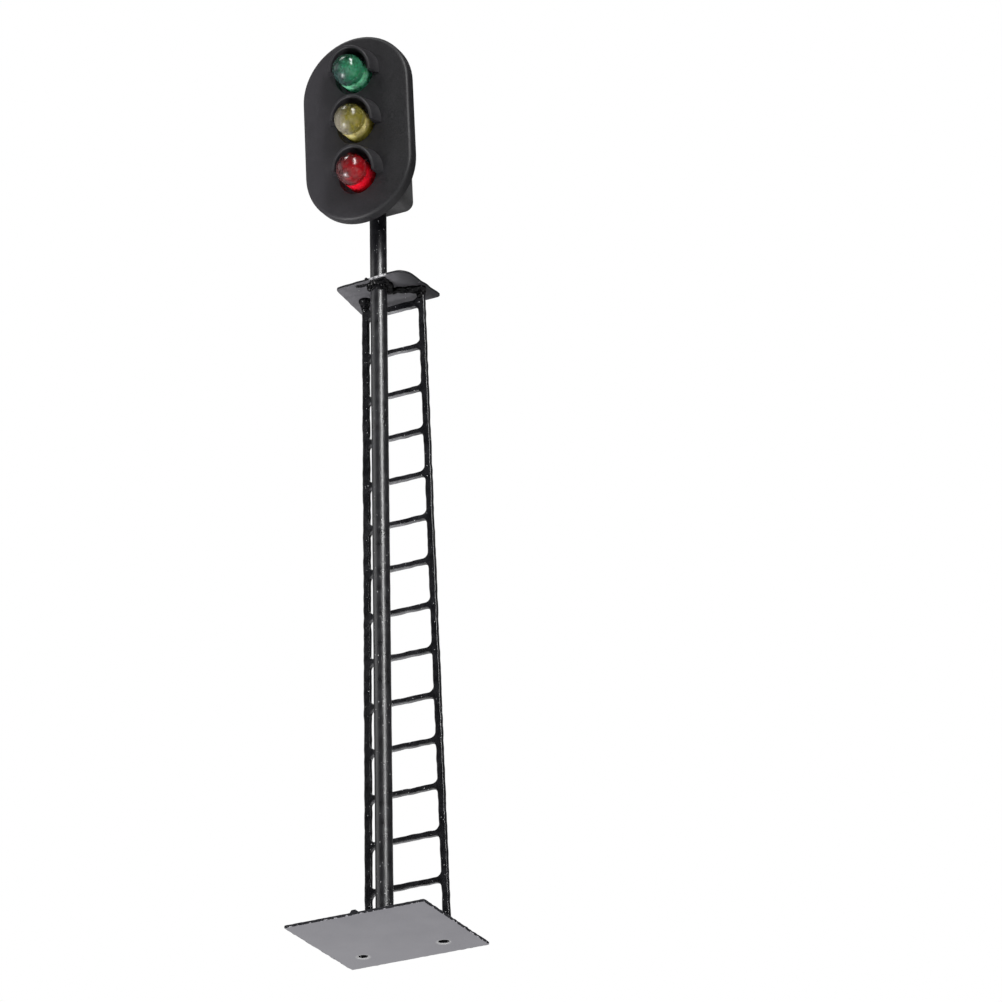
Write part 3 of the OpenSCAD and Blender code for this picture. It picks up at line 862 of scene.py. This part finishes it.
def platform_collar():
    """The collar of painted solder round the mast, under the platform."""
    under = box_mm("platform")[0].z
    mast_r = box_mm("mast_tube")[1].x
    # beads round the mast, four lobes of uneven size and a low lip towards the front edge
    lumps = [((mast_r * x, mast_r * y, under - 0.1), (0.36, 0.36, 0.26)) for x, y in ring_points(RING_BEADS)]
    lumps += [((-0.62, -0.5, under - 0.3), (0.36, 0.34, 0.4)),
              ((-0.2, 0.85, under - 0.35), (0.4, 0.4, 0.45)),
              ((0.72, 0.7, under - 0.35), (0.5, 0.55, 0.42)),
              ((1.0, 0.1, under - 0.15), (0.45, 0.55, 0.32))]
    lumps += [((-0.1 + 0.28 * k, -1.0 - 0.02 * k, under - 0.02), (0.3, 0.3, 0.13)) for k in range(5)]
    # a ragged fillet down the mast's front
    for a in (math.radians(-115 + 22 * k) for k in range(6)):
        drop = 0.5 + 0.08 * math.sin(5 * a)
        lumps.append(((mast_r * math.cos(a), mast_r * math.sin(a), under - 0.3), (0.24, 0.24, drop)))
    lumps.append(((0.95, -0.55, under - 0.05), (0.42, 0.42, 0.2)))
    # a flat smear to the left of the mast and a drop on the front edge
    lumps += [((-1.75 + 0.25 * k, -0.8 + 0.05 * k, under), (0.28, 0.22, 0.16)) for k in range(6)]
    lumps.append(((-0.62, PLATFORM_LEFT[1] - 0.2, under + 0.2), (0.17, 0.15, 0.15)))
    bm = fused_lumps(lumps, voxel=0.04, smoothing=3)
    wobble(bm, amount=0.05, size=0.5)
    return finish_piece("platform_collar", mesh_of(bm, "platform_collar"), SOLDER,
                        ["platform_mast_solder"], sharp=SOLDER_SHARP)


def ladder_top_solder():
    """An uneven bar of solder from the mast to the right rail, and a blob in front of each rail's top."""
    _, _, middle, _, top = ladder_frame()
    under = box_mm("platform")[0].z
    start, end = Vector((0.8, 1.35)), Vector((middle + top[0] + 0.25, 2.2))
    last = 21
    lumps = []
    for k in range(last + 1):
        p = start.lerp(end, k / last)
        size = 0.4 + 0.2 * noise.noise(Vector((p.x * 1.6, 4.1, 0)))
        sway = 0.15 * noise.noise(Vector((p.x * 1.9, 0, 9)))
        lumps.append(((p.x, p.y + sway, under - 0.08), (size, size, 0.34)))
    for side, blob in ((-1, 0.62), (1, 0.5)):
        x = middle + side * top[0]
        # on the rail's top, in front of it, and down the rail
        lumps.append(((x, top[1] - 0.15, under - 0.15), (0.5, 0.5, 0.4)))
        lumps.append(((x - side * 0.35, top[1] - 0.8, under - 0.12), (blob, blob, 0.45)))
        lumps.append(((x, top[1] - 0.25, under - 0.45), (0.36, 0.3, 0.42)))
    bm = fused_lumps(lumps, voxel=0.045, smoothing=3)
    wobble(bm, amount=0.06, size=0.45)
    return finish_piece("ladder_top_run", mesh_of(bm, "ladder_top_run"), SOLDER,
                        ["platform_ladder_solder"], sharp=SOLDER_SHARP)


def foot_solder(name, lumps, ripple, node):
    """Solder that stands on the base plate. ripple is the size of its unevenness."""
    bottom = box_mm("mast_tube")[0].z - FOOT_SOLDER_SINK
    bm = fused_lumps(lumps)
    wobble(bm, amount=0.06, size=ripple)
    for vertex in bm.verts:
        vertex.co.z = max(vertex.co.z, bottom * MM)
    return finish_piece(name, mesh_of(bm, name), SOLDER, [node], sharp=SOLDER_SHARP)


def feet_solder():
    """Blobs round the rails' feet and a ring round the mast's foot."""
    _, _, middle, foot, _ = ladder_frame()
    mast_low, mast_high = box_mm("mast_tube")
    top_face = mast_low.z
    blobs = []
    for side in (-1, 1):
        x = middle + side * foot[0]
        blobs.append(((x, foot[1], top_face + 0.05), (0.95, 0.85, 0.28)))
        blobs.append(((x, foot[1] - 0.1, top_face + 0.2), (0.45, 0.45, 0.4)))
    foot_solder("ladder_feet_solder", blobs, 0.5, "ladder_foot_solder")
    ring_r = mast_high.x * 1.15
    ring = [((ring_r * x, ring_r * y, top_face + 0.08), (0.55, 0.55, 0.34))
            for x, y in ring_points(RING_BEADS)]
    foot_solder("mast_foot_ring", ring, 0.6, "mast_foot_solder")


# ---- Signal head ----

def target_plate():
    """Oblong plate with a rounded front edge and three lamp holes, each with a wide recess at the front."""
    half_w = (plate_high.x - plate_low.x) / 2
    half_h = (plate_high.z - plate_low.z) / 2
    outline = [(-half_w, -half_h), (half_w, -half_h), (half_w, half_h), (-half_w, half_h)]
    loops = [(outline, [half_w] * 4, 1)]
    for height in LAMPS.values():
        hole, radii = circle_corners(0, height, LAMP_R + LAMP_CLEAR)
        loops.append((hole, radii, -1))
    levels = edge_levels(PLATE_T, FACE_EDGE, BACK_EDGE, 6)
    widening = RECESS_R - LAMP_R - LAMP_CLEAR
    mouth = [(widening + inset, depth) for inset, depth in RECESS_EDGE]
    hole_levels = [(mouth[0][0] + RIM, 0), *mouth]
    hole_levels += [(widening, RECESS_DEPTH), (0, RECESS_DEPTH), (0, PLATE_T), (RIM, PLATE_T)]
    bm = sheet(loops, levels, lambda x, z, depth: in_head(x, depth, z), steps=18, spacing=0.8,
               hole_levels=hole_levels)
    return finish_piece("target_board", mesh_of(bm, "target_board"), PLASTIC,
                        ["target_plate"])


def hood(colour):
    """Half-round hood: tapered outside, straight inside, its front edge slanting back towards its ends."""
    slope = (HOOD_REACH - HOOD_SIDE_REACH) / HOOD_FRONT_R
    root = HOOD_ROOT_R + HOOD_FOOT
    lip = HOOD_WALL / 2
    lip_angles = [math.pi * j / 8 for j in range(1, 8)]
    steps = 56
    bm = bmesh.new()
    rings = []
    for k in range(steps + 1):
        angle = math.pi * k / steps
        reach = HOOD_SIDE_REACH + slope * HOOD_FRONT_R * math.sin(angle)
        section = [(RECESS_R, y) for y in (-HOOD_ROOT_DEPTH, 0, reach / 2, reach - lip)]
        section += [(RECESS_R + lip - lip * math.cos(a), reach - lip + lip * math.sin(a)) for a in lip_angles]
        section += [(HOOD_FRONT_R, reach - lip), ((HOOD_FRONT_R + HOOD_ROOT_R) / 2, reach / 2),
                    (HOOD_ROOT_R - HOOD_NECK, HOOD_FOOT_RISE), (root, 0), (root, -HOOD_ROOT_DEPTH)]
        way = angle - HOOD_TURN
        rings.append([bm.verts.new(in_head(r * math.cos(way), -y, LAMPS[colour] + r * math.sin(way)) * MM)
                      for r, y in section])
    count = len(rings[0])
    for ring, following in zip(rings, rings[1:]):
        for i in range(count):
            j = (i + 1) % count
            bm.faces.new((ring[i], ring[j], following[j], following[i]))
    bm.faces.new(rings[0])
    bm.faces.new(list(reversed(rings[-1])))
    return finish_piece("hood_shell_" + colour, mesh_of(bm, "hood_shell_" + colour), PLASTIC,
                        ["hood_" + colour], sharp=50)


def lamp(colour):
    """A 3 mm lamp: flange behind the plate, a straight barrel and a round dome."""
    back = PLATE_T + FLANGE_T
    front = PLATE_T + FLANGE_GAP
    dome = -LAMP_REACH + LAMP_R
    barrel_steps, dome_steps = 6, 20
    profile = [(0, back), (FLANGE_R - FLANGE_EDGE, back), (FLANGE_R, back - FLANGE_EDGE),
               (FLANGE_R, front + FLANGE_EDGE), (FLANGE_R - FLANGE_EDGE, front), (LAMP_R + LAMP_FOOT, front),
               (LAMP_R, PLATE_T)]
    profile += [(LAMP_R, PLATE_T + (dome - PLATE_T) * k / barrel_steps) for k in range(1, barrel_steps + 1)]
    profile += [(LAMP_R * math.cos(a), dome - LAMP_R * math.sin(a))
                for a in (math.pi / 2 * k / dome_steps for k in range(1, dome_steps))]
    profile += [(0, -LAMP_REACH)]
    bm = lathe(profile, lambda r, a, y: in_head(r * math.cos(a), y, LAMPS[colour] + r * math.sin(a)))
    return finish_piece("lamp_lens_" + colour, mesh_of(bm, "lamp_lens_" + colour), RESINS[colour],
                        ["lamp_" + colour])


def rear_cover():
    """Box-shaped cover behind the target plate, its back edges well rounded."""
    low, high = head_box("rear_cover")
    mid = (low.z + high.z) / 2 - HEAD_ORIGIN.z
    half_w, half_h = (high.x - low.x) / 2, (high.z - low.z) / 2
    depth = high.y - HEAD_ORIGIN.y - PLATE_T
    bottom, top = mid - half_h, mid + half_h
    outline = [(-half_w, bottom), (half_w, bottom), (half_w, top), (-half_w, top)]
    levels = edge_levels(depth, COVER_FRONT_EDGE, COVER_EDGE, 6)
    bm = sheet([(outline, [COVER_CORNER] * 4, 1)], levels, lambda x, z, y: in_head(x, PLATE_T + y, z),
               steps=10, spacing=0.8)
    return finish_piece("cover_shell", mesh_of(bm, "cover_shell"), COVER, ["rear_cover"])


def inner_parts():
    """The CAD nodes inside the lamps, the head and the mast keep their shapes and get their finishes."""
    tin = metal("tinned_metal", (0.80, 0.79, 0.76), (0.55, 0.54, 0.52), 0.22)
    finishes = {
        "lamp_anodes": tin, "lamp_cathodes": tin, "board_solder": tin,
        "lamp_dies": coated("lamp_die", (0.75, 0.62, 0.25), 0.3),
        "mast_socket": PLASTIC,
        "lamp_board": coated("circuit_board", (0.05, 0.22, 0.11), 0.35),
        "lead_common": coated("black_insulation", (0.02, 0.02, 0.022)),
        "lead_green": coated("green_insulation", (0.03, 0.30, 0.12)),
        "lead_yellow": coated("yellow_insulation", (0.70, 0.52, 0.05)),
        "lead_red": coated("red_insulation", (0.50, 0.02, 0.02)),
    }
    for name, material in finishes.items():
        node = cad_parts[name]
        node.data.materials.clear()
        node.data.materials.append(material)


# ---- Studio ----

def floor():
    """A pale floor with a hole for the base plate, so that a camera below it sees the plate's underside.
    It is clear from below and fades out far from the object."""
    low, high = box_mm("base_plate")
    reach = FLOOR_REACH
    outline = [(-reach, -reach), (reach, -reach), (reach, reach), (-reach, reach)]
    hole = [(low.x, low.y), (high.x, low.y), (high.x, high.y), (low.x, high.y)]
    bm = bmesh.new()
    rings = [[bm.verts.new(Vector((x, y, 0)) * MM) for x, y in loop] for loop in (outline, hole)]
    for i in range(4):
        j = (i + 1) % 4
        bm.faces.new((rings[0][i], rings[0][j], rings[1][j], rings[1][i]))
    bm.normal_update()
    mesh = bpy.data.meshes.new("floor")
    bm.to_mesh(mesh)
    bm.free()
    s = Shader("floor_paper")
    fibre = s.noise(2.2, 4)
    paper_dark, paper_light = (0.815, 0.815, 0.82), (0.83, 0.83, 0.83)
    tone = s.blend(s.spread(fibre, 0.3, 0.7), paper_dark, paper_light)
    s.set(Roughness=0.9)
    s.wear(colour=tone, normal=s.bump(s.noise(0.8, 3), 0.01, 0.2))
    # clear far away and from below
    length = s.add("ShaderNodeVectorMath", operation="LENGTH")
    s.link(s.place, length.inputs[0])
    fade = s.spread(length.outputs["Value"], FLOOR_FADE[0] * MM, FLOOR_FADE[1] * MM)
    side = s.add("ShaderNodeNewGeometry").outputs["Backfacing"]
    clear = s.add("ShaderNodeBsdfTransparent")
    mix = s.add("ShaderNodeMixShader")
    s.link(s.math("MAXIMUM", fade, side), mix.inputs["Fac"])
    s.link(s.principled.outputs["BSDF"], mix.inputs[1])
    s.link(clear.outputs["BSDF"], mix.inputs[2])
    s.link(mix.outputs["Shader"], s.output.inputs["Surface"])
    mesh.materials.append(s.material)
    piece = bpy.data.objects.new("floor", mesh)
    bpy.context.scene.collection.objects.link(piece)


def softbox(name, azimuth, elevation, distance, width, height, radiance, aim_z, level):
    """A rectangular soft light that looks at the mast, placed by its direction in degrees. A level one
    looks straight up, so it doesn't light the floor. Sizes are in millimetres."""
    a, e = math.radians(azimuth), math.radians(elevation)
    way = Vector((math.sin(a) * math.cos(e), -math.cos(a) * math.cos(e), math.sin(e)))
    data = bpy.data.lights.new(name, "AREA")
    data.shape = "RECTANGLE"
    data.size = width * MM
    data.size_y = height * MM
    data.energy = radiance * math.pi * data.size * data.size_y
    lamp_object = bpy.data.objects.new(name, data)
    lamp_object.location = (Vector((0, 0, aim_z)) + way * distance) * MM
    lamp_object.rotation_mode = "QUATERNION"
    lamp_object.rotation_quaternion = (Vector((0, 0, 1)) if level else -way).to_track_quat("-Z", "Y")
    lamp_object.visible_camera = False
    bpy.context.scene.collection.objects.link(lamp_object)


def studio():
    """The soft lights, and surroundings that are white to the camera and dim to everything else."""
    for light in LIGHTS:
        softbox(*light)
    world = bpy.data.worlds.new("studio")
    bpy.context.scene.world = world
    world.use_nodes = True
    tree = world.node_tree
    background = tree.nodes["Background"]
    background.inputs["Color"].default_value = (1, 1, 1, 1)
    path = tree.nodes.new("ShaderNodeLightPath")
    strength = tree.nodes.new("ShaderNodeMapRange")
    strength.inputs["To Min"].default_value = SURROUNDINGS
    strength.inputs["To Max"].default_value = 1.0
    tree.links.new(path.outputs["Is Camera Ray"], strength.inputs["Value"])
    tree.links.new(strength.outputs["Result"], background.inputs["Strength"])
    bpy.context.scene.view_settings.view_transform = "Standard"


def camera():
    """The camera, at the photograph's viewing angle."""
    a, e, roll = CAMERA_AZIMUTH, CAMERA_ELEVATION, CAMERA_ROLL
    back = Vector((math.sin(a) * math.cos(e), -math.cos(a) * math.cos(e), math.sin(e)))
    level = Vector((math.cos(a), math.sin(a), 0))
    right = level * math.cos(roll) + back.cross(level) * math.sin(roll)
    up = back.cross(right)
    data = bpy.data.cameras.new("camera")
    data.sensor_width = 36
    data.lens = CAMERA_LENS
    data.shift_x, data.shift_y = CAMERA_SHIFT
    data.clip_start, data.clip_end = 0.01, 20
    viewer = bpy.data.objects.new("camera", data)
    viewer.matrix_world = Matrix.Translation((Vector(CAMERA_AIM) + back * CAMERA_DISTANCE) * MM) @ Matrix(
        (right, up, back)).transposed().to_4x4()
    bpy.context.scene.collection.objects.link(viewer)
    bpy.context.scene.camera = viewer


base_plate()
mast()
ladder()
platform()
platform_collar()
ladder_top_solder()
feet_solder()
target_plate()
for lamp_colour in LAMPS:
    hood(lamp_colour)
    lamp(lamp_colour)
rear_cover()
inner_parts()
floor()
studio()
camera()
